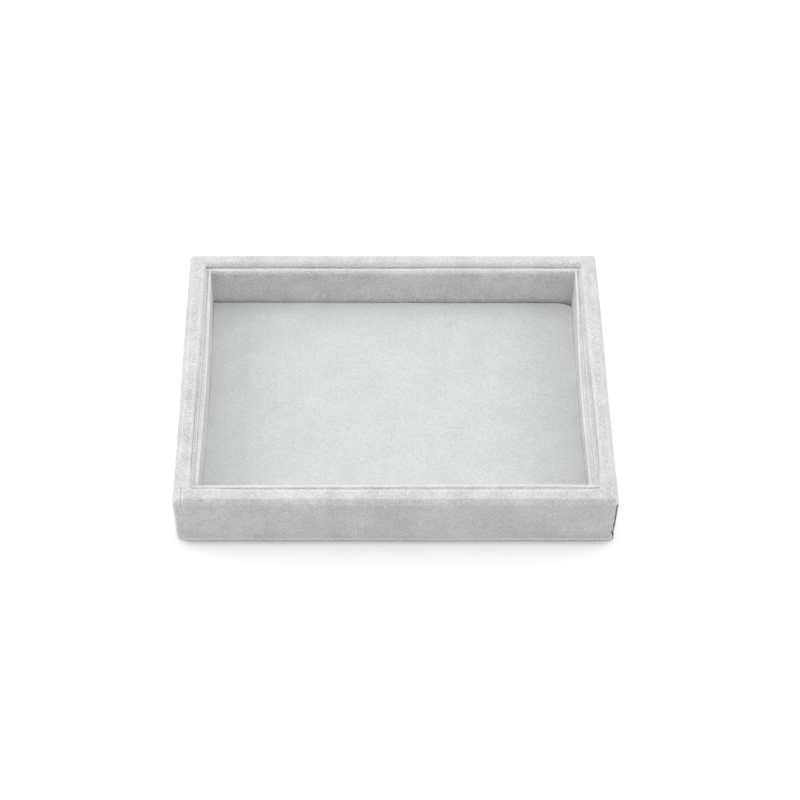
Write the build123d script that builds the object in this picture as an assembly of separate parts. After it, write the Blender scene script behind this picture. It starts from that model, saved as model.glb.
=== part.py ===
from build123d import *
import math
import os

# Jewelry tray: a low rectangular box wrapped in velvet, with a velvet covered liner that stands
# round its well, a little lower than the rim, and a loose velvet covered pad on its floor.
# Millimetres. X runs to the right, Y to the back and Z up. The origin is at the middle of the
# underside, on the surface that the tray stands on.

# Whole tray
tray_width = 240.0
tray_depth = 180.0
tray_height = 40.0

# Stock that the tray is made of
velvet = 1.0
bottom_felt = 1.0
wall_board = 7.0
base_board_height = 4.0
liner_card = 1.7
pad_card_height = 2.0
pad_foam_height = 3.0

# Edges of the bare wall boards, which the velvet follows
board_outer_edge = 2.5
board_inner_edge = 0.9
board_foot_edge = 1.8
board_corner = 1.0

# Base board, let into a rebate along the foot of the walls
rebate_width = 3.5
base_play = 0.15

# Flat wire brads through each mitred corner, two to a corner
brad_width = 1.2
brad_thickness = 1.0
brad_length = 20.0
brad_head_width = 2.2
brad_head_height = 0.7
brad_point = 2.0
brad_height_shares = (0.28, 0.72)

# Velvet round the walls
bottom_hem = 16.0
floor_hem = 12.0
seam_gap = 0.35
seam_turn = 60.0
seam_lead = 1.2

# Felt under the tray
felt_setback = 3.5
felt_corner = 2.0

# Liner strips
liner_drop = 2.6
liner_groove = 0.4
liner_butt = 0.3
liner_back_hem = 20.0
side_liner_swell = 1.3
long_liner_swell = 0.5
card_roll_share = 0.44
liner_end_roll = 2.4

# Pad
pad_play = 0.4
pad_crown = 0.7
pad_slope_width = 12.0
pad_card_corner = 2.0
pad_card_roll = 1.2
pad_hem = 14.0

# One overrun for every cut
overrun = 5.0

# Levels, from the ground up
wrap_foot = bottom_felt
board_foot = wrap_foot + velvet
base_top = board_foot + base_board_height
floor_level = base_top + velvet
board_top = tray_height - velvet
liner_top = tray_height - liner_drop
pad_card_foot = floor_level + velvet
pad_card_top = pad_card_foot + pad_card_height
pad_foam_top = pad_card_top + pad_foam_height
pad_top = pad_foam_top + velvet

# Widths across the wall and the liner, each from the outside in
wall = wall_board + 2 * velvet
board_back = velvet + wall_board
liner_seat = wall + liner_groove
liner = liner_card + 2 * velvet
liner_face = liner_seat + liner
half_width = tray_width / 2
half_depth = tray_depth / 2

# The sides in the order of quarter turns about Z
sides = ("front", "right", "back", "left")
long_sides = ("front", "back")


def between(inner, outer, low, high):
    """A rectangle of a section, between two distances from the outside and two levels."""
    return Pos((inner + outer) / 2, (low + high) / 2) * Rectangle(outer - inner, high - low)


def rounded(section, across, level, radius):
    """The section with the corner nearest to that place rounded."""
    corner = section.vertices().sort_by_distance((across, level, 0))[0]
    return fillet(corner, radius)


def mitred(section, length, reach):
    """A run of the section along X with its outside at Y = -reach and both ends mitred."""
    run = extrude(Plane.YZ * Pos(-reach, 0) * section, length / 2, both=True)
    inward = section.bounding_box().max.X
    end = length / 2
    outline = Polyline(
        (-end, -reach),
        (end, -reach),
        (end - inward, inward - reach),
        (inward - end, inward - reach),
        close=True,
    )
    return run & extrude(make_face(outline), tray_height)


def plan_block(setback, radius, foot, top):
    """An upright block with the tray's outline drawn in by the setback."""
    outline = RectangleRounded(tray_width - 2 * setback, tray_depth - 2 * setback, radius)
    return Pos(0, 0, foot) * extrude(outline, top - foot)


def four_sides(section, setback, corner):
    """The section along each side of the tray, with the upright corners rounded."""
    long_run = mitred(section, tray_width, half_depth)
    short_run = mitred(section, tray_depth, half_width)
    block = plan_block(setback, corner, 0, tray_height)
    runs = {}
    for quarter, side in enumerate(sides):
        run = long_run if side in long_sides else short_run
        runs[side] = Rot(0, 0, 90 * quarter) * run & block
    return runs


# Wall boards: one section, mitred at the corners, with the rebate for the base board
board_block = between(velvet, board_back, board_foot, board_top)
board_block = rounded(board_block, velvet, board_top, board_outer_edge)
board_block = rounded(board_block, board_back, board_top, board_inner_edge)
board_block = rounded(board_block, velvet, board_foot, board_foot_edge)
rebate = between(board_back - rebate_width, board_back, board_foot, base_top)
board_section = board_block - rebate
wall_boards = four_sides(board_section, velvet, board_corner)

# Brads, each from the outer face of a side board through the mitre into the long board
brad_profile = Polyline(
    (-brad_head_width / 2, 0),
    (-brad_head_width / 2, -brad_head_height),
    (-brad_width / 2, -brad_head_height),
    (-brad_width / 2, brad_point - brad_length),
    (0, -brad_length),
    (brad_width / 2, brad_point - brad_length),
    (brad_width / 2, -brad_head_height),
    (brad_head_width / 2, -brad_head_height),
    (brad_head_width / 2, 0),
    close=True,
)
brad = extrude(Plane.YZ * make_face(brad_profile), brad_thickness / 2, both=True)
brad_row = half_depth - velvet - wall_board / 2
brads = []
for hand in (-1, 1):
    for end in (-1, 1):
        for share in brad_height_shares:
            level = board_foot + share * (board_top - board_foot)
            place = Pos(hand * (half_width - velvet), end * brad_row, level)
            brads.append(place * Rot(0, 90 * hand, 0) * brad)
corner_brads = Compound(brads)
for name, board in wall_boards.items():
    for one in brads:
        board = board - one
    wall_boards[name] = board

# Base board, which lies in the rebate and carries the pad
base_setback = board_back - rebate_width + base_play
base_board = Pos(0, 0, board_foot) * Box(
    tray_width - 2 * base_setback,
    tray_depth - 2 * base_setback,
    base_board_height,
    align=(Align.CENTER, Align.CENTER, Align.MIN),
)

# Velvet wrap: hem under the base, up the outside, over the rim, down inside, hem on the floor
wrap_section = between(0, wall, wrap_foot, tray_height)
wrap_section = rounded(wrap_section, 0, tray_height, board_outer_edge + velvet)
wrap_section = rounded(wrap_section, wall, tray_height, board_inner_edge + velvet)
wrap_section = rounded(wrap_section, 0, wrap_foot, board_foot_edge + velvet)
wrap_section += between(velvet + board_foot_edge, bottom_hem, wrap_foot, board_foot)
wrap_section += between(board_back, wall + floor_hem, base_top, floor_level)
wrap_section -= board_block
wrap_section -= between(board_back, wall, board_foot, base_top)
wrap_runs = four_sides(wrap_section, 0, board_corner + velvet)
outer_velvet_wrap = wrap_runs["front"] + wrap_runs["right"] + wrap_runs["back"] + wrap_runs["left"]

# The wrap's two ends meet in an upright butt seam at the front right corner
corner_center = board_corner + velvet
seam_foot = wrap_foot + board_foot_edge + velvet
seam_head = tray_height - board_outer_edge - velvet - seam_lead
seam_cut = Pos(board_corner, 0, seam_foot) * Box(
    velvet + overrun,
    seam_gap,
    seam_head - seam_foot,
    align=(Align.MIN, Align.CENTER, Align.MIN),
)
seam_place = Pos(half_width - corner_center, corner_center - half_depth, 0)
outer_velvet_wrap -= seam_place * Rot(0, 0, -seam_turn) * seam_cut

# Felt that covers the hems and the base from below
bottom_cover = plan_block(felt_setback, felt_corner, 0, bottom_felt)


def strip(length, thickness, swell, top, roll, end_roll):
    """A liner strip along X. Its back is on Y = 0 and its face bows into the well by the swell."""
    end = length / 2
    past_end = end + thickness
    bow = (end**2 + swell**2) / (2 * swell)
    plan = between(-past_end, past_end, 0, thickness + swell)
    plan = plan & Pos(0, thickness + swell - bow) * Circle(bow)
    block = extrude(Pos(0, 0, floor_level) * plan, top - floor_level)
    long_edges = block.faces().sort_by(Axis.Z)[-1].edges().sort_by(SortBy.LENGTH)[-2:]
    block = fillet(long_edges, roll)
    side_view = between(-end, end, floor_level, top)
    side_view = rounded(side_view, -end, top, end_roll)
    side_view = rounded(side_view, end, top, end_roll)
    return block & extrude(Plane.XZ * side_view, thickness + swell + overrun, both=True)


def liner_pieces(length, swell):
    """The card and the velvet of one liner strip, with the back of the strip on Y = 0."""
    card_roll = card_roll_share * liner_card
    card = strip(
        length - 2 * velvet,
        liner_card,
        swell,
        liner_top - velvet,
        card_roll,
        liner_end_roll - velvet,
    )
    card = Pos(0, velvet, 0) * card
    skin = strip(length, liner, swell, liner_top, card_roll + velvet, liner_end_roll) - card
    bare_back = Pos(0, 0, floor_level) * Box(
        length,
        2 * velvet,
        liner_top - liner_back_hem - floor_level,
        align=(Align.CENTER, Align.CENTER, Align.MIN),
    )
    return card, skin - bare_back


# The long strips fill the tray from side to side, and the side strips stand between them
long_length = tray_width - 2 * liner_seat
side_length = tray_depth - 2 * liner_face - 2 * liner_butt
long_card, long_skin = liner_pieces(long_length, long_liner_swell)
side_card, side_skin = liner_pieces(side_length, side_liner_swell)
long_place = Pos(0, liner_seat - half_depth, 0)
side_place = Pos(0, liner_seat - half_width, 0)
liner_cards = {}
liner_skins = {}
for quarter, side in enumerate(sides):
    is_long = side in long_sides
    place = Rot(0, 0, 90 * quarter) * (long_place if is_long else side_place)
    liner_cards[side] = place * (long_card if is_long else side_card)
    liner_skins[side] = place * (long_skin if is_long else side_skin)


def pad_form(inset, foot, top, corner, roll):
    """The pad drawn in by the inset, with a crown that slopes down to a rolled edge all round."""
    wide = half_width - liner_face - side_liner_swell - pad_play - inset
    deep = half_depth - liner_face - long_liner_swell - pad_play - inset
    plan = RectangleRounded(2 * wide, 2 * deep, corner)
    shoulder = top - pad_crown
    steepness = math.degrees(math.atan2(pad_slope_width, pad_crown))
    block = Pos(0, 0, foot) * extrude(plan, shoulder - foot)
    block += Pos(0, 0, shoulder) * extrude(plan, pad_crown, taper=steepness)
    edge = block.edges().group_by(lambda one: abs(one.center().Z - shoulder))[0]
    return fillet(edge, roll)


# Pad: card, foam on it, and velvet over both with a hem glued under the card
pad_whole = pad_form(0, floor_level, pad_top, pad_card_corner + velvet, pad_card_roll + velvet)
pad_core = pad_form(velvet, pad_card_foot, pad_foam_top, pad_card_corner, pad_card_roll)
card_zone = Pos(0, 0, floor_level) * Box(
    tray_width,
    tray_depth,
    pad_card_top - floor_level,
    align=(Align.CENTER, Align.CENTER, Align.MIN),
)
pad_board = pad_core & card_zone
pad_foam = pad_core - card_zone
pad_window = Pos(0, 0, floor_level) * Box(
    tray_width - 2 * (liner_face + pad_hem),
    tray_depth - 2 * (liner_face + pad_hem),
    2 * velvet,
)
pad_velvet_cover = pad_whole - pad_core - pad_window

# One file to a piece
pieces = {
    "bottom_cover": bottom_cover,
    "base_board": base_board,
    "corner_brads": corner_brads,
    "outer_velvet_wrap": outer_velvet_wrap,
    "pad_board": pad_board,
    "pad_foam": pad_foam,
    "pad_velvet_cover": pad_velvet_cover,
}
for side in sides:
    pieces[side + "_wall_board"] = wall_boards[side]
    pieces[side + "_liner_board"] = liner_cards[side]
    pieces[side + "_liner_velvet"] = liner_skins[side]

os.makedirs("parts", exist_ok=True)
for name, piece in pieces.items():
    export_step(piece, f"parts/{name}.step")
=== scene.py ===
import math

import bmesh
import bpy
import numpy as np
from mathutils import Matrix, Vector, noise


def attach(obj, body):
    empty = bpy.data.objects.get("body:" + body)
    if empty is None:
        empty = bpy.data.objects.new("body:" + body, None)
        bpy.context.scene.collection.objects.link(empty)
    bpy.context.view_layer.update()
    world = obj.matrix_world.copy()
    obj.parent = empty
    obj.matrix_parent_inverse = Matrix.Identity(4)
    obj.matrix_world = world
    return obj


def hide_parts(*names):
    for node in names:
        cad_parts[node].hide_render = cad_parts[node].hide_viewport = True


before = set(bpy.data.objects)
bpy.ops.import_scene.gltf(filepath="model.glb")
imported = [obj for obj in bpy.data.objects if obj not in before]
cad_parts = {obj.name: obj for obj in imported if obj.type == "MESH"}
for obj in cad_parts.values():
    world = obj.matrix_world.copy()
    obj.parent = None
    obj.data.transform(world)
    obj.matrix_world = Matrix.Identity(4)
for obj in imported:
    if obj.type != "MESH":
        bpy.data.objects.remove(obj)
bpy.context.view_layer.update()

# The jewelry tray, dressed: a fibreboard box wrapped in one strip of pale grey velvet, four velvet
# liner strips round the well, a velvet covered foam pad on the floor and a felt cover underneath.
# Its lengths are in millimetres, as they are on the cutting table, and turn to metres in new_mesh.
# The lamps' and the camera's are in metres.

MM = 0.001

# The box, as the walls' maker measures it
tray_width = 240.0
tray_depth = 180.0
tray_height = 40.0
felt_height = 1.0
upright_round = 2.0
wall = 9.0
floor_level = 7.0
half_width = tray_width / 2
half_depth = tray_depth / 2

# The wrap's bends, from the hem underneath to the hem on the floor
bottom_hem = 16.0
floor_hem = 12.0
foot_round = 2.8
foot_bead = 0.42
foot_bead_level = 4.5
rim_outer_round = 3.5
rim_flat = 0.37
rim_inner_round = 1.9
floor_bend = 0.8
velvet_skin = 0.95

# The wrap's upright seam, as a share of a quarter turn from the right side to the front
seam_share = 60.0 / 90.0
seam_foot = 1.4
seam_head = 38.0
seam_gap = 1.4
seam_depth = 0.8
seam_lip = 0.16
closed_gap = 0.08

# Liner strips
liner_seat = 9.4
liner_thickness = 3.7
card_face = 2.7
liner_top = 37.4
liner_back_hem = 20.0
liner_butt = 0.15
long_swell = 0.5
side_swell = 1.3

# Pad
pad_half_width = 105.2
pad_half_depth = 76.0
pad_top = 14.0
pad_crown = 0.7
pad_edge_roll = 2.3
pad_hem = 14.0
foam_foot = 10.0
foam_top = 13.0


def spread(start, end, step):
    """Evenly spaced values from start to end, no further apart than the step."""
    count = max(1, math.ceil(abs(end - start) / step))
    return [start + (end - start) * i / count for i in range(count + 1)]


def sine(angle):
    return math.sin(math.radians(angle))


def cosine(angle):
    return math.cos(math.radians(angle))


def bend(across, level, wide, high, start, end, steps):
    """Points of a bend about a centre, as an ellipse between two angles in degrees."""
    points = []
    for i in range(steps + 1):
        angle = math.radians(start + (end - start) * i / steps)
        points.append((across + wide * math.cos(angle), level + high * math.sin(angle)))
    return points


def ease(value):
    """A smooth step from 0 to 1."""
    value = min(1.0, max(0.0, value))
    return value * value * (3 - 2 * value)


def slope(value, start, end):
    """A smooth step from 0 where the value is at the start to 1 where it is at the end."""
    return ease((value - start) / (end - start))


def fade(distance, reach):
    """How near something is, from 1 where it is to almost 0 at twice its reach."""
    return math.exp(-((distance / reach) ** 2))


def lie(point, size, seed):
    """How a cloth lies at a point, from -1 to 1: slow waves about as long as the size."""
    return noise.noise(Vector(point) / size + Vector((seed, seed * 0.37, -seed)))


def waves(point, rows):
    """How far a cloth stands off at a point, from rows of a wave's height, its length and a seed."""
    return sum(height * lie(point, length, seed) for height, length, seed in rows)


def soften(points, times=3):
    """A path with its corners cut, and cut again, until it runs as smoothly as cloth over card."""
    for _ in range(times):
        cut = [points[0]]
        for (x0, y0), (x1, y1) in zip(points, points[1:]):
            cut.append((0.75 * x0 + 0.25 * x1, 0.75 * y0 + 0.25 * y1))
            cut.append((0.25 * x0 + 0.75 * x1, 0.25 * y0 + 0.75 * y1))
        points = [*cut, points[-1]]
    return points


def even_steps(points, count):
    """That many points along a path, evenly spaced, its two ends among them."""
    run = [0.0]
    for one, following in zip(points, points[1:]):
        run.append(run[-1] + math.dist(one, following))
    wanted = np.linspace(0.0, run[-1], count)
    columns = [np.interp(wanted, run, column) for column in zip(*points)]
    return list(zip(*(column.tolist() for column in columns)))


def join_corners(corners, steps):
    """A closed outline from four corners, each a list of points, with that many steps along the
    side that follows each."""
    points = []
    for quarter, corner in enumerate(corners):
        (x0, y0), (x1, y1) = corner[-1], corners[(quarter + 1) % 4][0]
        points += corner
        for i in range(1, steps[quarter]):
            share = i / steps[quarter]
            points.append((x0 + (x1 - x0) * share, y0 + (y1 - y0) * share))
    return points


def sheet_faces(lines, row):
    """The faces between lines of points that follow each other, each with as many as the row."""
    starts = [line * row + i for line in range(lines - 1) for i in range(row - 1)]
    return [(a, a + 1, a + row + 1, a + row) for a in starts]


def stack_rings(rings):
    """Points and faces of closed rings, each a list of points, that follow each other."""
    count = len(rings[0])
    points = [point for ring in rings for point in ring]
    faces = []
    for r in range(len(rings) - 1):
        for i in range(count):
            j = (i + 1) % count
            faces.append((r * count + i, r * count + j, (r + 1) * count + j, (r + 1) * count + i))
    return points, faces


def new_mesh(name, points, faces):
    """A mesh from points in millimetres."""
    mesh = bpy.data.meshes.new(name)
    mesh.from_pydata([Vector(p) * MM for p in points], [], faces)
    return mesh


def set_down(name, mesh, finish, crease):
    """The mesh as a smooth object in its finish, sharp where it bends by more than the crease."""
    mesh.shade_smooth()
    mesh.set_sharp_from_angle(angle=math.radians(crease))
    mesh.materials.append(finish)
    piece = bpy.data.objects.new(name, mesh)
    bpy.context.scene.collection.objects.link(piece)
    return piece


# The painted highlight on a bend, which stands in for the velvet's sheen there and partly for its
# pile opening, starts on a bend of the first radius and is full on one of the second, and
# points of a skin that are nearer than the weld are one point
highlight_from = 5.0
highlight_full = 1.2
weld = 0.002


def bend_highlight(vert, shows):
    """How much painted highlight a point of the face gets, from 0 to 1, by its tightest outward
    bend. It stands in for the sheen where velvet rolls over, and partly for the pile opening there.
    """
    bends = [0.0]
    for edge in vert.link_edges:
        other = edge.other_vert(vert)
        if other[shows]:
            step = (other.co - vert.co) / MM
            bends.append(-2 * step.dot(vert.normal) / step.length_squared)
    return slope(max(bends), 1 / highlight_from, 1 / highlight_full)


def lay_skin(name, outer, inner, faces, finish, push, crease=40.0, painted_shade_and_highlight=()):
    """A closed skin of velvet. The outer face shows, and push says how far it lies off its even
    form at each point. The inner face has as many points and lies on the board or card. The last
    argument gives each outer point's painted shade, up to 1, and a painted highlight where it is
    less than 0; every outer point left at 0 gets a painted highlight by its tightest outward bend."""
    count = len(outer)
    steps = {(a, b) for face in faces for a, b in zip(face, (*face[1:], face[0]))}
    rim = [(b, a, a + count, b + count) for a, b in sorted(steps) if (b, a) not in steps]
    back = [tuple(i + count for i in reversed(face)) for face in faces]
    mesh = new_mesh(name, (*outer, *inner), [*faces, *back, *rim])
    work = bmesh.new()
    work.from_mesh(mesh)
    work.verts.ensure_lookup_table()
    shows = work.verts.layers.int.new("shows")
    painted_light = work.verts.layers.float.new("painted_light")
    for vert in work.verts:
        vert[shows] = int(vert.index < count)
    for number, share in enumerate(painted_shade_and_highlight):
        work.verts[number][painted_light] = -share
    bmesh.ops.remove_doubles(work, verts=work.verts, dist=weld * MM)
    work.normal_update()
    face = [vert for vert in work.verts if vert[shows]]
    moves = [vert.normal * push(vert.co / MM, vert.normal) * MM for vert in face]
    for vert, move in zip(face, moves):
        vert.co += move
    work.normal_update()
    for vert in face:
        vert[painted_light] = vert[painted_light] or bend_highlight(vert, shows)
    work.verts.layers.int.remove(shows)
    work.to_mesh(mesh)
    work.free()
    return set_down(name, mesh, finish, crease)


# Finishes


def paint(code):
    """A colour written as sRGB hex, in linear light."""
    channels = []
    for start in (1, 3, 5):
        share = int(code[start : start + 2], 16) / 255
        if share <= 0.04045:
            channels.append(share / 12.92)
        else:
            channels.append(((share + 0.055) / 1.055) ** 2.4)
    return (*channels, 1.0)


def per_metre(size):
    """The noise scale that draws a pattern whose features are that many millimetres."""
    return 1.0 / (size * MM)


def add(tree, kind, settings, links):
    """A node with its settings, and its sockets set or linked."""
    node = tree.nodes.new(kind)
    for name, value in settings.items():
        setattr(node, name, value)
    for socket, value in links.items():
        if isinstance(value, bpy.types.NodeSocket):
            tree.links.new(value, node.inputs[socket])
        else:
            node.inputs[socket].default_value = value
    return node


def new_finish(name):
    """An empty material, its node tree and the tree's output node."""
    finish = bpy.data.materials.new(name)
    finish.use_nodes = True
    tree = finish.node_tree
    tree.nodes.clear()
    return finish, tree, tree.nodes.new("ShaderNodeOutputMaterial")


def add_noise(tree, place, size, detail, roughness=0.5, distortion=0.0):
    """A socket with noise from 0 to 1, whose features are that many millimetres."""
    sockets = {
        "Vector": place,
        "Scale": per_metre(size),
        "Detail": detail,
        "Roughness": roughness,
        "Distortion": distortion,
    }
    return add(tree, "ShaderNodeTexNoise", {}, sockets).outputs["Fac"]


def calculate(tree, operation, *values):
    """A socket with the result of one operation on the values."""
    return add(tree, "ShaderNodeMath", {"operation": operation}, dict(enumerate(values))).outputs[0]


def map_range(tree, value, start, end, first=0.0, last=1.0):
    """A socket that goes from the first to the last number while the value goes from start to end."""
    sockets = {"Value": value, "From Min": start, "From Max": end, "To Min": first, "To Max": last}
    return add(tree, "ShaderNodeMapRange", {"clamp": True}, sockets).outputs["Result"]


def mix_values(tree, share, one, other):
    """A socket with two values mixed: the one at a share of 0, the other at 1."""
    sockets = {0: share, 2: one, 3: other}
    return add(tree, "ShaderNodeMix", {"data_type": "FLOAT"}, sockets).outputs[0]


def mix_colours(tree, share, one, other):
    """A socket with two colours mixed: the one at a share of 0, the other at 1."""
    sockets = {0: share, 6: one, 7: other}
    return add(tree, "ShaderNodeMix", {"data_type": "RGBA"}, sockets).outputs[2]


def seen_plainly(tree):
    """A socket that is 1 for rays from the camera, a mirror or glass, and 0 for all others."""
    path = add(tree, "ShaderNodeLightPath", {}, {}).outputs
    seen = calculate(tree, "MAXIMUM", path["Is Camera Ray"], path["Is Glossy Ray"])
    return calculate(tree, "MAXIMUM", seen, path["Is Transmission Ray"])


def add_surface(tree, out, relief, shader):
    """The relief and the shader that every finish ends in, from their settings."""
    bump = add(tree, "ShaderNodeBump", {}, relief)
    shader = {**shader, "Normal": bump.outputs["Normal"]}
    surface = add(tree, "ShaderNodeBsdfPrincipled", {}, shader)
    tree.links.new(surface.outputs["BSDF"], out.inputs["Surface"])


# Sizes in the velvet's pattern. Real tufts are 0.3 mm, and all but the first are drawn coarser
# than they are, so that they show: patches where the pile leans its own way, tufts, the gaps
# between them and the tufts' relief
lean_size = 17.0
tuft_size = 0.9
gap_size = 1.3
relief_size = 0.8

# How much of the pattern the gaps are on an upright face
upright_gaps = 0.4

# The painted highlight and the painted shade: the mark that is full, how much it shows, its colour
highlight_look = (1.0, 0.45, "#FFFFFF")
shade_look = (-1.0, 0.95, "#3A3B3C")


def velvet(name, dark, light, mottle, grain):
    """Cut pile velvet, woven, steamed and glued flat. The upright pile is matt and goes pale at a
    grazing look, and patches of it lean their own way, so the grey is mottled from a few
    centimetres down to the tufts. On an upright face the gaps between the tufts show more. Where
    the mesh marks it, a painted highlight pales the grey, for the sheen on tight bends and partly
    for the pile opening there, and painted shade darkens it toward a near black grey."""
    finish, tree, out = new_finish(name)
    coordinates = add(tree, "ShaderNodeTexCoord", {}, {})
    place = coordinates.outputs["Object"]
    lean = add_noise(tree, place, lean_size, 5.0, 0.7)
    tufts = add_noise(tree, place, tuft_size, 2.0, 0.75)
    together = mix_values(tree, mottle, tufts, lean)
    gaps = calculate(tree, "SUBTRACT", add_noise(tree, place, gap_size, 2.0, 0.75), 0.5)
    facing = add(tree, "ShaderNodeSeparateXYZ", {}, {"Vector": coordinates.outputs["Normal"]})
    level = calculate(tree, "ABSOLUTE", facing.outputs["Z"])
    upright = map_range(tree, level, 0.2, 0.8, upright_gaps, 0.0)
    together = calculate(tree, "MULTIPLY_ADD", gaps, upright, together)
    tone = map_range(tree, together, 0.36, 0.64)
    colour = mix_colours(tree, tone, paint(dark), paint(light))
    # Painted highlight and painted shade, read from the marks on the skin's points
    painted_light = add(tree, "ShaderNodeAttribute", {"attribute_name": "painted_light"}, {}).outputs["Fac"]
    for full, most, shade in (highlight_look, shade_look):
        shown = map_range(tree, painted_light, 0.0, full, 0.0, most)
        colour = mix_colours(tree, shown, colour, paint(shade))
    pile = add_noise(tree, place, relief_size, 2.0, 0.7)
    add_surface(
        tree,
        out,
        {"Strength": grain, "Distance": 0.5 * MM, "Height": pile},
        {
            "Base Color": colour,
            "Roughness": 0.95,
            "IOR": 1.45,
            "Specular IOR Level": 0.1,
            "Sheen Weight": 1.0,
            "Sheen Roughness": 0.4,
            "Sheen Tint": paint("#FFFFFF"),
        },
    )
    return finish


def board(name, dark, light, fleck, roughness):
    """Board pressed or rolled from fibre: matt, with short flecks of darker and paler fibre."""
    finish, tree, out = new_finish(name)
    place = add(tree, "ShaderNodeTexCoord", {}, {}).outputs["Object"]
    fibres = add_noise(tree, place, fleck, 5.0, 0.7)
    clouds = add_noise(tree, place, 12 * fleck, 2.0)
    together = mix_values(tree, 0.35, fibres, clouds)
    add_surface(
        tree,
        out,
        {"Strength": 0.25, "Distance": 0.1 * MM, "Height": fibres},
        {
            "Base Color": mix_colours(tree, together, paint(dark), paint(light)),
            "Roughness": roughness,
            "IOR": 1.5,
        },
    )
    return finish


def pressed_felt():
    """Felt, pressed from loose fibre: matt grey, with fibres that run every way and no weave."""
    finish, tree, out = new_finish("pressed grey felt")
    place = add(tree, "ShaderNodeTexCoord", {}, {}).outputs["Object"]
    bent = add_noise(tree, place, 4.0, 4.0, distortion=2.5)
    fuzz = add_noise(tree, place, 0.8, 4.0, 0.7)
    together = mix_values(tree, 0.5, bent, fuzz)
    add_surface(
        tree,
        out,
        {"Strength": 0.5, "Distance": 0.3 * MM, "Height": together},
        {
            "Base Color": mix_colours(tree, together, paint("#9A9D9D"), paint("#C6C8C7")),
            "Roughness": 1.0,
            "Specular IOR Level": 0.1,
            "Sheen Weight": 0.1,
        },
    )
    return finish


def cast_foam():
    """Polyurethane foam, cast in a block and split to a sheet: a cream skin of open cells. The
    cells are 0.4 mm and are drawn 1 mm wide to show."""
    finish, tree, out = new_finish("split polyurethane foam")
    place = add(tree, "ShaderNodeTexCoord", {}, {}).outputs["Object"]
    pattern = {"Vector": place, "Scale": per_metre(1.0)}
    cells = add(tree, "ShaderNodeTexVoronoi", {"feature": "SMOOTH_F1"}, pattern).outputs["Distance"]
    add_surface(
        tree,
        out,
        {"Strength": 0.6, "Distance": 0.4 * MM, "Height": cells},
        {"Base Color": mix_colours(tree, cells, paint("#D9CFB6"), paint("#F2ECDD")), "Roughness": 0.9},
    )
    return finish


def drawn_steel():
    """Bright steel wire, drawn through a die and cut: grey metal with fine lines along it."""
    finish, tree, out = new_finish("drawn steel wire")
    place = add(tree, "ShaderNodeTexCoord", {}, {}).outputs["Object"]
    along = add(tree, "ShaderNodeMapping", {}, {"Vector": place, "Scale": (0.06, 1.0, 1.0)})
    lines = add_noise(tree, along.outputs["Vector"], 0.15, 3.0)
    add_surface(
        tree,
        out,
        {"Strength": 0.2, "Distance": 0.02 * MM, "Height": lines},
        {
            "Roughness": map_range(tree, lines, 0.0, 1.0, 0.25, 0.45),
            "Base Color": mix_colours(tree, lines, paint("#9C9D9E"), paint("#C4C5C6")),
            "Metallic": 1.0,
        },
    )
    return finish


wrap_velvet = velvet("woven cut pile velvet, wrap", "#C2C2C2", "#F0F0F0", 0.38, 1.0)
liner_cloth = velvet("woven cut pile velvet, liners", "#BFBFBF", "#ECECEC", 0.38, 1.0)
pad_velvet = velvet("woven cut pile velvet, pad", "#CBCECD", "#E1E4E3", 0.25, 0.5)
felt = pressed_felt()
foam = cast_foam()
fibreboard = board("pressed fibreboard", "#8B6A47", "#C09C70", 0.7, 0.75)
greyboard = board("rolled greyboard", "#83807A", "#AFABA3", 0.5, 0.85)
steel = drawn_steel()


# The wrap

# Sides in the order that the strip runs, from the seam at the front right corner: the middle of
# the side's foot, the way that the strip runs, the way in, and half the side's length
wrap_sides = (
    ((0, -half_depth), (-1, 0), (0, 1), half_width),
    ((-half_width, 0), (0, 1), (1, 0), half_depth),
    ((0, half_depth), (1, 0), (0, -1), half_width),
    ((half_width, 0), (0, -1), (-1, 0), half_depth),
)
seam_corner = ("corner", 3)
seam_plan = (
    half_width - upright_round * (1 - cosine(90 * seam_share)),
    upright_round * (1 - sine(90 * seam_share)) - half_depth,
)

# Cross lines near a corner are drawn in toward the mitre over this length of the side
mitre_zone = 30.0

# How far apart the wrap's points are along its section
hem_step = 2.5
fine_step = 0.4
side_step = 1.3
lip_step = 0.9
inner_step = 3.0
bend_steps = 8
rim_steps = 10
floor_bend_steps = 4

# How far apart its cross lines are along a side, near a front corner, near a back corner and
# between, how long that nearness is, and the steps in a corner's turn and from the seam to its end
near_front_step = 0.4
near_back_step = 1.0
between_step = 2.4
near_corner = 12.0
turn_steps = 8
seam_steps = 5


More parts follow.
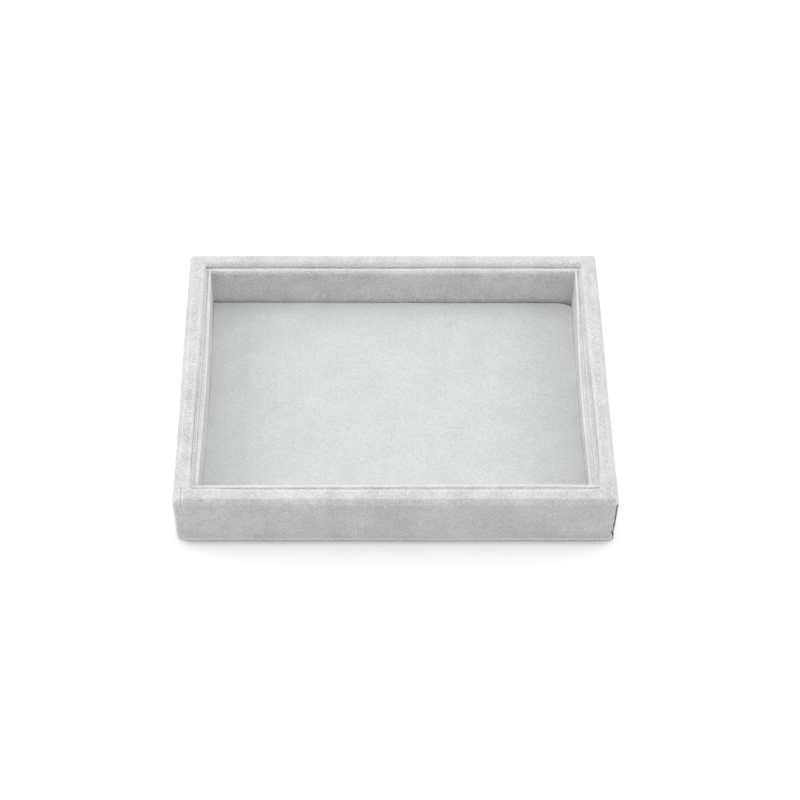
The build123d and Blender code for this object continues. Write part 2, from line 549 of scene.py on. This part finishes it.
def wrap_section(depth):
    """The wrap's section at a depth below its outer face, as (inset, level): hem underneath, side,
    rim, inner side and hem on the floor. Every depth has the same number of points."""
    foot, top, inner = felt_height + depth, tray_height - depth, wall - depth
    low, high, lip = foot_round - depth, rim_outer_round - depth, rim_inner_round - depth
    hollow = floor_bend + depth
    flat = rim_flat if depth == 0 else 0.0
    floor = floor_level - depth
    side_foot, side_head = felt_height + foot_round, tray_height - rim_outer_round
    bead_head, inner_head = foot_bead_level + 2.0, tray_height - rim_inner_round
    fine_level = tray_height - 7.0
    section = [(inset, foot) for inset in spread(bottom_hem, foot_round, hem_step)]
    section += bend(foot_round, side_foot, low, low, 270, 180, bend_steps)[1:]
    section += [(depth, level) for level in spread(side_foot, bead_head, fine_step)[1:]]
    section += [(depth, level) for level in spread(bead_head, side_head, side_step)[1:]]
    for i in range(1, rim_steps + 1):
        turn = 90 * i / rim_steps
        radius = high - flat * cosine(2 * turn - 90) ** 2
        section.append((rim_outer_round - radius * cosine(turn), side_head + radius * sine(turn)))
    section += [(inset, top) for inset in spread(rim_outer_round, wall - rim_inner_round, fine_step)[1:]]
    section += bend(wall - rim_inner_round, inner_head, lip, lip, 90, 0, bend_steps)[1:]
    section += [(inner, level) for level in spread(inner_head, fine_level, lip_step)[1:]]
    section += [(inner, level) for level in spread(fine_level, floor_level + floor_bend, inner_step)[1:]]
    middle, lift = wall + floor_bend, floor_level + floor_bend
    section += bend(middle, lift, hollow, hollow, 180, 270, floor_bend_steps)[1:]
    section += [(inset, floor) for inset in spread(middle, wall + floor_hem, inner_step)[1:]]
    return section


def wrap_stations():
    """Where the strip's cross lines stand: (side, how far along) or (corner, share of its turn)."""
    stations = [(*seam_corner, seam_share)]
    for i in range(seam_steps + 1):
        stations.append((*seam_corner, seam_share + (1 - seam_share) * i / seam_steps))
    for k, (_, _, _, half) in enumerate(wrap_sides):
        end = half - upright_round
        start_step = near_front_step if k in (0, 1) else near_back_step
        end_step = near_front_step if k in (0, 3) else near_back_step
        along = spread(-end, near_corner - end, start_step)[1:]
        along += spread(near_corner - end, end - near_corner, between_step)[1:]
        along += spread(end - near_corner, end, end_step)[1:-1]
        stations += [("side", k, value) for value in along]
        last = seam_share if k == 3 else 1.0
        stations += [("corner", k, last * i / turn_steps) for i in range(turn_steps + 1)]
    stations.append((*seam_corner, seam_share))
    return stations


def plan_point(station, inset):
    """Where a station's cross line is at an inset, in plan, and which way the strip runs there."""
    kind, k, value = station
    (cx, cy), (rx, ry), (nx, ny), half = wrap_sides[k]
    inward = max(inset, upright_round)
    if kind == "corner":
        turn = math.radians(90 * value)
        out_x = -math.cos(turn) * nx + math.sin(turn) * rx
        out_y = -math.cos(turn) * ny + math.sin(turn) * ry
        run = (math.sin(turn) * nx + math.cos(turn) * rx, math.sin(turn) * ny + math.cos(turn) * ry)
        along = half - inward
        radius = max(0.0, upright_round - inset)
        x = cx + rx * along + nx * inward + out_x * radius
        y = cy + ry * along + ny * inward + out_y * radius
        return x, y, run
    spare = half - upright_round - abs(value)
    share = max(0.0, 1 - spare / mitre_zone)
    along = math.copysign(abs(value) - (inward - upright_round) * share, value)
    return cx + rx * along + nx * inset, cy + ry * along + ny * inset, (rx, ry)


# The seam wanders, its cut edges part over these lengths at its foot and its head, the gap between
# them changes by this share over so many millimetres, and the edges fray
seam_wander = ((0.8, 8.0, 4.0), (0.5, 3.4, 5.0))
seam_foot_ease = 2.5
seam_head_ease = 1.8
gap_change = 0.5
gap_length = 3.5
seam_fray = 0.22
fray_length = 1.1


def seam_shift(level, end, depth):
    """How far one end of the strip stands from the seam's line, along the strip. The cut edges
    meet on the board and are pulled apart at their face."""
    parted = ease((level - seam_foot) / seam_foot_ease) * ease((seam_head - level) / seam_head_ease)
    wander = waves((0, 0, level), seam_wander) * parted
    if depth:
        return wander + end * closed_gap / 2
    gap = closed_gap + (seam_gap - closed_gap) * parted
    gap *= 1 + gap_change * lie((0, 0, level), gap_length, 11.0) * parted
    fray = seam_fray * lie((end * 9.0, 0, level), fray_length, 7.0) * parted
    return wander + end * (gap / 2 + fray)


# How the glued velvet stands off its even form: waves, and by how much at most in each place
wrap_waves = ((0.16, 34.0, 1.0), (0.09, 9.0, 2.0), (0.05, 3.2, 3.0))
seam_lift = 0.4
rim_extra = 0.55
side_rim_share = 0.9
back_corner_fill = 0.35
groove_fill = 0.8
hem_fold = 0.6
tab_crease = 0.7
tab_edge = 0.65
tab_rise = 0.2

# The levels from none to all of the waves, the seam's higher lips, the full rim, the swelling over
# the groove and the folded hem, and how far back the back rim and the side rims are full
wave_levels = (felt_height, felt_height + 2.0)
lip_foot = (1.5, 3.5)
lip_head = (16.0, 4.0)
rim_levels = (tray_height - 6.0, tray_height - 2.0)
groove_levels = (tray_height - 6.0, tray_height - 3.0)
fold_levels = (11.0, 3.0)
back_rim = (half_depth - 8.5, half_depth - 6.0)
side_rims = (-30.0, 50.0)

# The bead's width and how far in from the tray's faces it may be, how near the seam and how wide
# its lips are, how far the swelling over the groove goes along the front and the side at each
# front corner, and how far from the front left corner the folded hem goes
bead_width = 0.6
bead_inset = 1.0
seam_near = 4.0
lip_width = 1.4
left_swelling = (34.0, 16.0)
right_swelling = (9.0, 16.0)
fold_reach = 8.0
fold_width = 4.5

# The tab at the front left corner: its size, its crease behind with where this starts and ends, its
# edge beside with where this ends, its slope, and the zone across, along and down that holds it
tab_width = 4.5
tab_depth = 9.5
crease_width = 0.6
crease_start = (-0.5, 0.5)
crease_end = (6.5, 5.0)
edge_width = 0.55
edge_end = (10.0, 8.8)
tab_slope = 0.8
tab_zone = (14.0, 16.0, 5.0)


def seam_lips(x, y, z):
    """The strip's cut edges stand up along the seam, and more in its lower half."""
    to_seam = math.dist((x, y), seam_plan)
    if to_seam >= seam_near or z >= seam_head:
        return 0.0
    lower = slope(z, *lip_head) * slope(z, *lip_foot)
    return (seam_lip + seam_lift * lower) * fade(to_seam, lip_width)


def rim_fullness(x, y, z, normal):
    """The velvet is thicker along the back rim and toward it on the side rims. It fills out the two
    back corners, and at the two front corners it swells over the groove behind the liners."""
    behind, aside = slope(y, *back_rim), abs(normal[0])
    thicker = behind * (1 - aside) + side_rim_share * aside * slope(y, *side_rims)
    push = rim_extra * thicker * slope(z, *rim_levels)
    push += back_corner_fill * behind * (2 * normal[0] * normal[1]) ** 2
    reach_x, reach_y = left_swelling if x < 0 else right_swelling
    from_x, from_y = abs(abs(x) - half_width + wall), abs(y + half_depth - wall)
    near = slope(from_x, reach_x, reach_x / 3) * slope(from_y, reach_y, reach_y / 3)
    to_well = max(0.0, normal[1], -normal[0] * math.copysign(1.0, x))
    return push + groove_fill * near * to_well * slope(z, *groove_levels)


def corner_folds(left, front, z):
    """Folds at the front left corner, by the distances from its two faces: the hem is folded away
    under it, and a tab of the strip is folded over its rim, with a crease on two sides."""
    push = 0.0
    if max(left, front) < fold_reach:
        push -= hem_fold * fade(max(left, front), fold_width) * slope(z, *fold_levels)
    across, along, down = tab_zone
    if left < across and front < along and z > tray_height - down:
        crease = fade(front - tab_depth, crease_width)
        crease *= slope(left, *crease_end) * slope(left, *crease_start)
        edge = fade(left - tab_width, edge_width) * slope(front, *edge_end)
        raised = slope(left, tab_width, tab_width - tab_slope)
        raised *= slope(front, tab_depth, tab_depth - tab_slope)
        push += tab_rise * raised - tab_crease * crease - tab_edge * edge
    return push


def wrap_push(point, normal):
    """How far the glued velvet stands off its even form."""
    x, y, z = point
    push = waves(point, wrap_waves) * slope(z, *wave_levels)
    if max(abs(x) - half_width, abs(y) - half_depth) > -bead_inset:
        push += foot_bead * fade(z - foot_bead_level, bead_width)
    push += seam_lips(x, y, z) + rim_fullness(x, y, z, normal)
    return push + corner_folds(x + half_width, y + half_depth, z)


def wrap_face(depth):
    """The points of the wrap at a depth below its outer face, cross line by cross line. The first
    and the last line are the foot of the two cut edges that meet in the seam."""
    section = wrap_section(depth)
    cut_foot = section if depth else wrap_section(seam_depth)
    stations = wrap_stations()
    last = len(stations) - 1
    _, _, seam_run = plan_point(stations[0], 0.0)
    points = []
    for number, station in enumerate(stations):
        end, from_cut, steps = 1, number, seam_steps
        if number > last / 2:
            end, from_cut, steps = -1, last - number, turn_steps
        near = 1 - (max(from_cut, 1) - 1) / steps
        at_seam = station[:2] == seam_corner
        for inset, level in cut_foot if number in (0, last) else section:
            x, y, run = plan_point(station, inset)
            shift = 0.0
            if at_seam and inset >= upright_round:
                shift, run = end * closed_gap / 2, seam_run
            elif at_seam:
                shift = seam_shift(level, end, depth) * near
            points.append((x + run[0] * shift, y + run[1] * shift, level))
    return points, len(stations), len(section)


# Painted shade at the foot, and painted highlight where it is less than 0: painted shade on the
# bend between two levels, this far in at most, where it faces the floor in shade, and a painted
# highlight on the bead about its middle
bend_shade = 0.5
bend_shade_levels = (1.2, foot_bead_level - 0.9)
bend_inset = foot_round - 0.6
bead_highlight = -1.4
bead_middle = foot_bead_level + 0.1
bead_reach = 0.79


def foot_shade_and_highlight(inset, level):
    """How much painted shade a point of the section gets, less than 0 for a painted highlight:
    painted shade on the bend under the bead, by the floor, and a painted highlight along the bead."""
    if inset < bend_inset and bend_shade_levels[0] < level < bend_shade_levels[1]:
        return bend_shade
    if inset < bead_inset and abs(level - bead_middle) < bead_reach:
        return bead_highlight
    return 0.0


def outer_velvet():
    """The wrap: one strip round the box, closed by an open butt seam at the front right corner."""
    outer, stations, row = wrap_face(0.0)
    inner, _, _ = wrap_face(velvet_skin)
    painted_shade_and_highlight = [foot_shade_and_highlight(inset, level) for inset, level in wrap_section(0.0)] * stations
    # The two cut edges in the seam take full painted shade, for the dark of the seam's deep gap
    painted_shade_and_highlight[:row] = [1.0] * row
    painted_shade_and_highlight[-row:] = [1.0] * row
    faces = sheet_faces(stations, row)
    piece = lay_skin("outer_velvet", outer, inner, faces, wrap_velvet, wrap_push, painted_shade_and_highlight=painted_shade_and_highlight)
    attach(piece, "tray")
    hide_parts("outer_velvet_wrap")


# The liner strips

# Each strip's top stands this far off its back, at places along the tray's width or depth. The
# side strips' tops lean into the well toward the front, and every strip bows a little.
strip_faces = {
    "front": ((-110.6, 3.7), (-60, 3.9), (0, 4.1), (60, 4.4), (95, 4.5), (110.6, 3.8)),
    "right": ((-76.6, 5.5), (-50, 5.9), (-15, 6.1), (18, 5.5), (50, 4.0), (76.6, 3.0)),
    "back": ((-110.6, 3.8), (-50, 4.1), (0, 4.2), (50, 4.2), (110.6, 3.8)),
    "left": ((-76.6, 3.8), (-50, 4.25), (-15, 4.75), (15, 4.8), (50, 4.0), (76.6, 3.0)),
}

# How far a side strip's velvet lies off its card beside the pad, how far the back strip bulges
# there, and where the crease along a side strip's top is, as a share of its thickness
side_lay = 0.5
back_bulge = 0.3
crease_share = 0.42

# The levels, from the strip's top, where its rolled top ends in front and behind, and how many
# points of the back strip's top are its slope
roll_front = -3.4
roll_behind = -3.0
back_slope_points = 7

# How many points a strip has over its top, up its face and down to its hem, and how far apart its
# cross lines are at its ends and between
strip_steps = 40
face_steps = 17
hem_steps = 8
strip_end_step = 0.5
strip_middle_step = 2.0
strip_end_zone = 4.0

# How each end is made: the velvet over it, its roll and the length that meets the back strip
end_skin = 0.95
end_roll_plain = 0.6
end_roll_butted = 0.25
end_tuck = 8.0
long_reach = 0.25

# The waves' share at the foot of a strip's face, the height over the pad at which they are full,
# and how far in they go at most
foot_share = 0.25
full_waves = 6.0
deepest_wave = -0.12


def strip_thickness(side, place):
    """How far the strip's top stands off its back there, evened out so that it has no kinks."""
    places, values = zip(*strip_faces[side])
    near = [np.interp(place + shift, places, values) for shift in (-14, -7, 0, 7, 14)]
    return float(sum(near)) / len(near)


def strip_foot(side, place):
    """How far the strip's face stands off its back beside the pad. A side strip lies flat on its
    card there, and the back strip bulges a little."""
    if side in ("left", "right"):
        half = half_depth - liner_thickness - liner_seat
        return card_face + side_swell * max(0.0, 1 - (place / half) ** 2) + side_lay
    bulge = back_bulge if side == "back" else 0.0
    return strip_thickness(side, place) + bulge


def strip_path(side, thick):
    """The strip's top over its card, face to back, as (distance from the back, drop). The front
    strip is rolled, the back strip slopes, and a side strip has a crease along its top."""
    if side == "front":
        path = [(thick, roll_front), (thick, -1.3), (thick - 0.1, 0.1), (thick - 0.9, 0.35)]
        path += [(thick - 1.7, 0.15), (thick - 2.3, -0.75), (1.1, -0.95), (0.3, -1.2)]
        path += [(-0.3, -1.9), (-0.34, roll_behind)]
    elif side == "back":
        path = [(thick, -10.5), (thick - 0.1, -7.5), (thick - 0.25, -4.6), (thick - 0.35, -2.8)]
        path += [(thick - 0.6, -1.7), (thick - 1.2, -0.6), (2.0, 0.1), (1.3, 0.3), (0.6, 0.2)]
        path += [(0.0, -0.1), (-0.3, -0.45), (-0.34, -1.2), (-0.34, roll_behind)]
    else:
        crease = crease_share * thick
        path = [(thick, roll_front), (thick, -1.6), (thick + 0.05, -0.3), (thick - 0.3, 0.35)]
        path += [(thick - 1.2, 0.3), (crease + 0.5, 0.0), (crease, -0.75)]
        path += [(crease - 0.45, -0.15), (0.7, 0.0), (0.1, 0.25), (-0.3, 0.4), (-0.35, 0.0)]
        path += [(-0.35, roll_behind)]
    return path


def meet_back_strip(level):
    """How much further a side strip's end reaches at a level, to lie on the back strip's slope."""
    end_thickness = strip_faces["back"][0][1]
    reaches, drops = zip(*strip_path("back", end_thickness)[:back_slope_points])
    return liner_thickness - float(np.interp(level - liner_top, drops, reaches))


def card_top(bow):
    """The top of a strip's card with its velvet's inner face on it, face to back."""
    cover, clear, roll = 1.0, 0.05, 0.75
    face, back, middle = card_face + bow + clear, cover - clear, -cover - roll
    path = [(face, roll_front)] + bend(face - roll, middle, roll, roll + clear, 0, 90, 6)
    path += bend(back + roll, middle, roll, roll + clear, 90, 180, 6) + [(back, roll_behind)]
    return even_steps(path, strip_steps)


def strip_row(top, foot):
    """One cross line of a strip, from the floor up its face, over its top and down to its hem, as
    (distance from the back, level). The face leans from its foot to its top."""
    face_top, level = top[0]
    lean = face_top - foot
    heights = [floor_level + (level - floor_level) * i / face_steps for i in range(face_steps)]
    face = [(foot + lean * slope(z, pad_top, level), z) for z in heights]
    hem = (top[-1][0], liner_top - liner_back_hem)
    return [*face, *top, *even_steps([top[-1], hem], hem_steps)[1:]]


def liner_strip(side):
    """One strip's velvet: up the face, over the card's top, down its back to a hem, and over
    both ends."""
    turn = ("front", "right", "back", "left").index(side)
    is_side = side in ("left", "right")
    if is_side:
        half = half_depth - liner_seat - liner_thickness - liner_butt
        back, swell = half_width - liner_seat, side_swell
    else:
        half = half_width - liner_seat
        back, swell = half_depth - liner_seat, long_swell
    along = spread(-half, strip_end_zone - half, strip_end_step)[:-1]
    along += spread(strip_end_zone - half, half - strip_end_zone, strip_middle_step)
    along += spread(half - strip_end_zone, half, strip_end_step)[1:]
    outer, inner = [], []
    for s in along:
        place = s if turn in (0, 1) else -s
        to_back = is_side and place > 0
        end_roll = end_roll_butted if to_back else end_roll_plain
        over = max(0.0, abs(s) - (half - end_roll))
        crest = liner_top - end_roll + math.sqrt(max(0.0, end_roll**2 - over**2))
        bow = swell * (1 - (s / half) ** 2)
        inner_s = s * (1 - end_skin / half)
        outer_s = s if is_side else s * (1 + long_reach / half)
        cloth_top = soften(strip_path(side, strip_thickness(side, place)))
        for points, at, profile in (
            (outer, outer_s, even_steps(cloth_top, strip_steps)),
            (inner, inner_s, card_top(bow)),
        ):
            top = [(q, crest + drop) for q, drop in profile]
            foot = strip_foot(side, place) if points is outer else top[0][0]
            for q, z in strip_row(top, foot):
                x, y = at, q - back
                if to_back and points is outer:
                    share = ease((abs(s) - half + end_tuck) / end_tuck)
                    x += math.copysign(meet_back_strip(z) * share, s)
                for _ in range(turn):
                    x, y = -y, x
                points.append((x, y, z))
    row = len(outer) // len(along)
    faces = sheet_faces(len(along), row)
    faces.append(tuple(reversed(range(row))))
    faces.append(tuple(range(len(outer) - row, len(outer))))
    seed = 20.0 + 5 * turn
    strip_waves = ((0.13, 26.0, seed), (0.08, 7.0, seed + 1), (0.04, 2.6, seed + 2))

    def push(point, normal):
        """Waves, which are slighter at the foot of the face and nowhere reach down to the card."""
        share = foot_share + (1 - foot_share) * ease((point[2] - pad_top) / full_waves)
        return max(deepest_wave, share * waves(point, strip_waves))

    piece = lay_skin(side + "_liner_cloth", outer, inner, faces, liner_cloth, push)
    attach(piece, "tray")
    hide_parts(side + "_liner_velvet")


# The pad

# The pad's corners in order round it from the back right: which way each lies, and how wide and
# deep its round is
pad_corners = (
    ((1, 1), (5.0, 4.0)),
    ((-1, 1), (1.6, 1.6)),
    ((-1, -1), (3.6, 3.6)),
    ((1, -1), (3.4, 3.4)),
)
# The first corner is pressed down by use: its round is this much wider and deeper at the top, and
# grows from the first level to the second, above the pad's card
corner_pressed = (6.0, 1.0)
pressed_levels = (10.2, 12.7)

# How many steps a corner and a long and a short side have, and how far apart the others are
corner_steps = 8
long_steps = 96
short_steps = 70
pad_hem_step = 2.4
pad_side_step = 0.8
pad_foot_steps = 4
pad_roll_steps = 8

# The velvet's roll at the pad's foot, how far in from its edge the crown's slope reaches and how
# soon it levels out, the least that a corner's round may be, and the hollows in the top with how
# much the velvet faces up where they start and are full
pad_foot_roll = 1.2
crown_reach = 30.0
crown_power = 2.2
least_round = 0.3
pad_waves = ((0.22, 42.0, 41.0), (0.12, 13.0, 42.0), (0.06, 4.0, 43.0))
faces_up = (0.5, 0.9)

# How the well holds the pad's soft edge, which is free again this far in: the shares of its roll
# that are pressed flat beside and behind, the gap that is left beside, and behind at the left and
# how much more there is at the right and where, and how far the shoulder is pushed up beside and
# behind
held_zone = 8
held_sharpness = 8
pressed_beside = 0.95
pressed_behind = 0.1
gap_beside = 0.1
gap_behind = 0.2
gap_widening = 0.45
gap_widens = (-70.0, 50.0)
squash_beside = 0.85
squash_behind = 0.25


def pad_outline(setback, level):
    """The pad's outline at a level, drawn in by the setback, as points in order round it."""
    pressed = slope(level, *pressed_levels)
    corners = []
    for quarter, ((sx, sy), (wide, deep)) in enumerate(pad_corners):
        if quarter == 0:
            wide, deep = wide + corner_pressed[0] * pressed, deep + corner_pressed[1] * pressed
        wide, deep = max(least_round, wide - setback), max(least_round, deep - setback)
        x = sx * (pad_half_width - setback - wide)
        y = sy * (pad_half_depth - setback - deep)
        corners.append(bend(x, y, wide, deep, 90 * quarter, 90 * quarter + 90, corner_steps))
    return join_corners(corners, (long_steps, short_steps, long_steps, short_steps))


def pad_height(x, y):
    """The level of the pad's top, which slopes down to its shoulder all round."""
    near = 1.0
    for from_edge in (pad_half_width - abs(x), pad_half_depth - abs(y)):
        near *= 1.0 - (1 - min(1.0, from_edge / crown_reach)) ** crown_power
    return pad_top - pad_crown * (1 - near)


def fill_top(points, faces, ring_start, depth):
    """Fills the last ring of the pad with a grid that follows its outline, at a depth below the
    pad's top."""
    half = corner_steps // 2
    columns, lines = long_steps + corner_steps, short_steps + corner_steps
    ring = list(range(ring_start, ring_start + 2 * (columns + lines)))
    ring = ring[half:] + ring[:half]
    back = ring[: columns + 1][::-1]
    left = ring[columns : columns + lines + 1][::-1]
    front = ring[columns + lines : 2 * columns + lines + 1]
    right = ring[2 * columns + lines :] + ring[:1]
    grid = [[None] * (columns + 1) for _ in range(lines + 1)]
    grid[0] = front
    grid[lines] = back
    for r in range(lines + 1):
        grid[r][0] = left[r]
        grid[r][columns] = right[r]
    flat = [Vector(p[:2]) for p in points]
    for r in range(1, lines):
        v = r / lines
        for c in range(1, columns):
            u = c / columns
            place = (1 - v) * flat[front[c]] + v * flat[back[c]]
            place += (1 - u) * flat[left[r]] + u * flat[right[r]]
            place -= (1 - u) * (1 - v) * flat[front[0]] + u * (1 - v) * flat[front[columns]]
            place -= (1 - u) * v * flat[back[0]] + u * v * flat[back[columns]]
            grid[r][c] = len(points)
            points.append((place.x, place.y, pad_height(place.x, place.y) - depth))
    faces += [
        (low[c], low[c + 1], high[c + 1], high[c])
        for low, high in zip(grid, grid[1:])
        for c in range(columns)
    ]


def fit_to_well(point, setback):
    """A point of the pad's outline, moved to where the strips' faces hold the soft edge. The edge
    is pressed flat against the side strips. Behind it rolls over softly and stands off the back
    strip, more so to the right."""
    x, y, level = point
    side = "right" if x > 0 else "left"
    beside = min(1.0, abs(x) / (pad_half_width - held_zone)) ** held_sharpness
    behind = min(1.0, max(0.0, y) / (pad_half_depth - held_zone)) ** held_sharpness
    room = half_width - liner_seat - strip_foot(side, y) - pad_half_width - gap_beside
    pressed = pressed_beside * min(setback, pad_edge_roll)
    x += math.copysign(room + pressed, x) * beside
    gap = gap_behind + gap_widening * slope(x, *gap_widens)
    y += (pressed_behind * pressed - gap) * behind
    shoulder = pad_top - pad_crown
    if level > shoulder - pad_edge_roll:
        share = max(beside * (1 - behind), squash_behind * behind)
        level += squash_beside * (shoulder - level) * share
    return x, y, level


def pad_push(point, normal):
    """How the pad's velvet lies off its even form: shallow hollows in its top."""
    x, y, _ = point
    return slope(normal[2], *faces_up) * waves((x, y, 0), pad_waves)


def pad_shell(depth):
    """The pad cover's points and faces at a depth below its outer face."""
    foot, roll = floor_level + pad_foot_roll, pad_edge_roll
    roll_level = pad_top - pad_crown - roll
    small, large = pad_foot_roll - depth, roll - depth
    hem = spread(pad_hem, pad_foot_roll, pad_hem_step)
    profile = [(setback, floor_level + depth) for setback in hem]
    profile += bend(pad_foot_roll, foot, small, small, 270, 180, pad_foot_steps)[1:]
    profile += [(depth, level) for level in spread(foot, roll_level, pad_side_step)[1:]]
    profile += bend(roll, roll_level, large, large, 180, 90, pad_roll_steps)[1:]
    rings = []
    for setback, level in profile:
        ring = [(x, y, level) for x, y in pad_outline(setback, level)]
        if depth == 0.0:
            ring = [fit_to_well(point, setback) for point in ring]
        rings.append(ring)
    points, faces = stack_rings(rings)
    fill_top(points, faces, len(points) - len(rings[0]), depth)
    return points, faces


def pad_cover():
    """The velvet over the foam and the card: crowned top, rolled edge, hem underneath."""
    outer, faces = pad_shell(0.0)
    inner, _ = pad_shell(velvet_skin)
    piece = lay_skin("pad_cover", outer, inner, faces, pad_velvet, pad_push, crease=60.0)
    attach(piece, "pad")
    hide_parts("pad_velvet_cover")


def foam_slab():
    """The foam on the pad's card, a little inside its velvet."""
    inset, under_velvet = 1.3, 1.12
    profile = (
        (inset + 0.5, foam_foot + 0.02),
        (inset, foam_foot + 0.3),
        (inset, foam_foot + 0.9),
        (inset + 0.5, foam_top - 0.95),
        (inset + 1.5, foam_top - 0.85),
    )
    rings = [[(x, y, level) for x, y in pad_outline(setback, level)] for setback, level in profile]
    points, faces = stack_rings(rings)
    fill_top(points, faces, len(points) - len(rings[0]), under_velvet)
    faces.append(tuple(reversed(range(len(rings[0])))))
    piece = set_down("foam_slab", new_mesh("foam_slab", points, faces), foam, crease=50.0)
    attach(piece, "pad")
    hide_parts("pad_foam")


# The felt underneath: how far in it is cut, the round of its corners, the levels of its cut edge
# with how far each is drawn in, the height, length and seed of the edge's waves, and its steps
felt_setback = 3.5
felt_corner = 2.0
felt_edge = ((0.0, 0.15), (0.25, 0.0), (0.75, 0.0), (felt_height, 0.15))
felt_waves = ((0.12, 9.0, 61.0),)
felt_corner_steps = 6
felt_side_steps = 48


def felt_cover():
    """The felt under the tray, cut with round corners, a little wavy along its cut edge."""
    wide, deep = half_width - felt_setback, half_depth - felt_setback
    corners = []
    for quarter, (sx, sy) in enumerate(((1, 1), (-1, 1), (-1, -1), (1, -1))):
        x, y = sx * (wide - felt_corner), sy * (deep - felt_corner)
        start = 90 * quarter
        corners.append(bend(x, y, felt_corner, felt_corner, start, start + 90, felt_corner_steps))
    outline = join_corners(corners, [felt_side_steps] * 4)
    rings = []
    for level, drawn_in in felt_edge:
        ring = []
        for x, y in outline:
            cut = waves((x, y, 0), felt_waves) + drawn_in
            ring.append((x * (1 - cut / wide), y * (1 - cut / deep), level))
        rings.append(ring)
    points, faces = stack_rings(rings)
    count = len(outline)
    faces.append(tuple(reversed(range(count))))
    faces.append(tuple(range(len(points) - count, len(points))))
    piece = set_down("felt_cover", new_mesh("felt_cover", points, faces), felt, crease=60.0)
    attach(piece, "tray")
    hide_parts("bottom_cover")


outer_velvet()
for side in ("front", "right", "back", "left"):
    liner_strip(side)
pad_cover()
foam_slab()
felt_cover()

# Boards, card and wire keep their own solids and take their finish
rigid_finishes = {"base_board": fibreboard, "corner_brads": steel, "pad_board": greyboard}
for side in ("front", "right", "back", "left"):
    rigid_finishes[side + "_wall_board"] = fibreboard
    rigid_finishes[side + "_liner_board"] = greyboard
for node, finish in rigid_finishes.items():
    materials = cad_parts[node].data.materials
    materials.clear()
    materials.append(finish)


# Floor, light and camera

# The paper's half side, its level under the tray and how much it glows where it is seen directly
paper_reach = 1400.0
paper_level = -0.1
paper_glow = 0.27

# Each soft box's name, its size in metres, its watts and its place, from which it faces the tray
soft_boxes = (
    ("soft box overhead", (2.0, 1.8), 6.8, (0.0, 0.15, 1.3)),
    ("soft box behind", (1.8, 1.0), 3.6, (0.0, 1.3, 0.9)),
    ("soft box on the left", (1.2, 1.0), 10.4, (-1.3, 0.1, 0.7)),
    ("soft box on the right", (1.2, 1.0), 8.8, (1.3, 0.1, 0.7)),
)
room_strength = 0.43


def paper_floor():
    """A sheet of matt white paper under the tray. It lights the tray as plain paper does, and seen
    directly it is near white and keeps the tray's shadow."""
    finish, tree, out = new_finish("matt white paper")
    seen = seen_plainly(tree)
    paper = add(tree, "ShaderNodeBsdfDiffuse", {}, {"Color": paint("#F4F4F4")})
    lit = add(tree, "ShaderNodeBsdfDiffuse", {}, {"Color": paint("#EFEFEF")})
    white = add(tree, "ShaderNodeEmission", {}, {"Color": paint("#FFFFFF"), "Strength": paper_glow})
    half = add(tree, "ShaderNodeAddShader", {}, {0: lit.outputs[0], 1: white.outputs[0]})
    both = add(tree, "ShaderNodeMixShader", {}, {0: seen, 1: paper.outputs[0], 2: half.outputs[0]})
    tree.links.new(both.outputs[0], out.inputs["Surface"])
    corners = [
        (sx * paper_reach, sy * paper_reach, paper_level)
        for sx, sy in ((-1, -1), (1, -1), (1, 1), (-1, 1))
    ]
    sheet = set_down("paper_floor", new_mesh("paper_floor", corners, [(0, 1, 2, 3)]), finish, 40.0)


def studio_light():
    """An even white room and four soft boxes: overhead, behind and at both sides."""
    world = bpy.data.worlds.new("white room")
    bpy.context.scene.world = world
    world.use_nodes = True
    tree = world.node_tree
    tree.nodes.clear()
    out = tree.nodes.new("ShaderNodeOutputWorld")
    seen = seen_plainly(tree)
    white = paint("#FFFFFF")
    room = add(tree, "ShaderNodeBackground", {}, {"Color": white, "Strength": room_strength})
    plain = add(tree, "ShaderNodeBackground", {}, {"Color": white, "Strength": 1.0})
    both = add(tree, "ShaderNodeMixShader", {}, {0: seen, 1: room.outputs[0], 2: plain.outputs[0]})
    tree.links.new(both.outputs[0], out.inputs["Surface"])
    for name, size, energy, place in soft_boxes:
        box = bpy.data.lights.new(name, "AREA")
        box.shape = "RECTANGLE"
        box.size, box.size_y = size
        box.energy = energy
        lamp = bpy.data.objects.new(name, box)
        lamp.location = place
        lamp.rotation_euler = (-Vector(place)).to_track_quat("-Z", "Y").to_euler()
        lamp.visible_camera = False
        bpy.context.scene.collection.objects.link(lamp)


def camera():
    """The camera above the front of the tray, where the picture was taken from."""
    looks_down = 51.85
    lens = bpy.data.cameras.new("camera")
    lens.sensor_fit = "HORIZONTAL"
    lens.sensor_width = 36.0
    lens.lens = 85.92
    lens.shift_x = 0.0409
    lens.clip_start = 0.05
    lens.clip_end = 20.0
    eye = bpy.data.objects.new("camera", lens)
    eye.location = (-0.0152, -0.6780, 0.8771)
    eye.rotation_euler = (math.radians(90 - looks_down), 0.0, 0.0)
    bpy.context.scene.collection.objects.link(eye)
    bpy.context.scene.camera = eye


paper_floor()
studio_light()
camera()
bpy.context.scene.view_settings.view_transform = "Standard"
